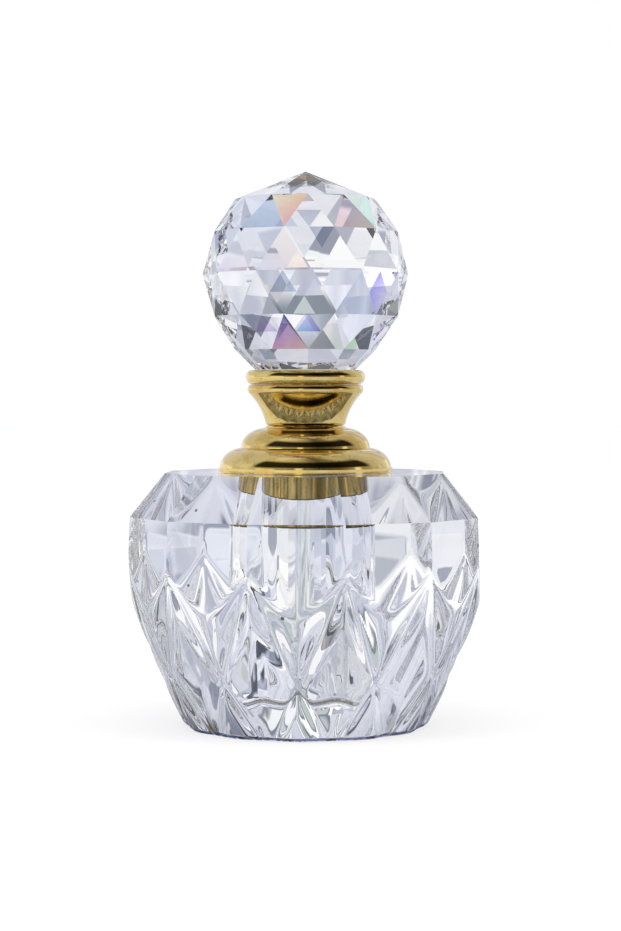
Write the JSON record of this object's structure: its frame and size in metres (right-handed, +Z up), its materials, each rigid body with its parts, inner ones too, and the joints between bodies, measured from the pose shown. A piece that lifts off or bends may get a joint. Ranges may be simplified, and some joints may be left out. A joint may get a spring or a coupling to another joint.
{
  "type": "crystal perfume bottle",
  "caption": "Small cut crystal oil bottle with a gilt dome collar, a screw cap topped by a faceted crystal ball, and a glass dauber rod.",
  "frame": {"origin": "centre of the flat base", "axes": "+Z up along the bottle's axis, one upright facet of the body faces -Y"},
  "size_m": [0.051, 0.051, 0.0808],
  "materials": {
    "cut_crystal": "cut and polished clear optical crystal",
    "rod_glass": "drawn clear glass",
    "gilt_brass": "turned brass, mirror polished and gold plated",
    "soft_plastic": "moulded natural polyethylene"
  },
  "bodies": {
    "bottle": {"crystal_body": "cut_crystal", "neck_ferrule": "gilt_brass", "dome_collar": "gilt_brass"},
    "seal": {"seal_washer": "soft_plastic"},
    "applicator": {"rod_plug": "soft_plastic", "dauber_rod": "rod_glass"},
    "stopper": {"bell_cap": "gilt_brass", "ball_seat": "gilt_brass", "crystal_ball": "cut_crystal"}
  },
  "joints": [
    {"name": "stopper_lift_off", "type": "slide", "parent": "bottle", "child": "seal", "axis": [0, 0, 1], "range_m": [0, 0.04]},
    {"name": "thread_rise", "type": "slide", "parent": "seal", "child": "applicator", "axis": [0, 0, 1], "range_m": [0, 0.00375]},
    {"name": "cap_unscrew", "type": "hinge", "parent": "applicator", "child": "stopper", "pos_m": [0, 0, 0.0438], "axis": [0, 0, 1], "range_deg": [0, 900]}
  ],
  "couplings": [
    {"joint": "thread_rise", "follows": "cap_unscrew", "m_per_rad": 0.00023873}
  ]
}
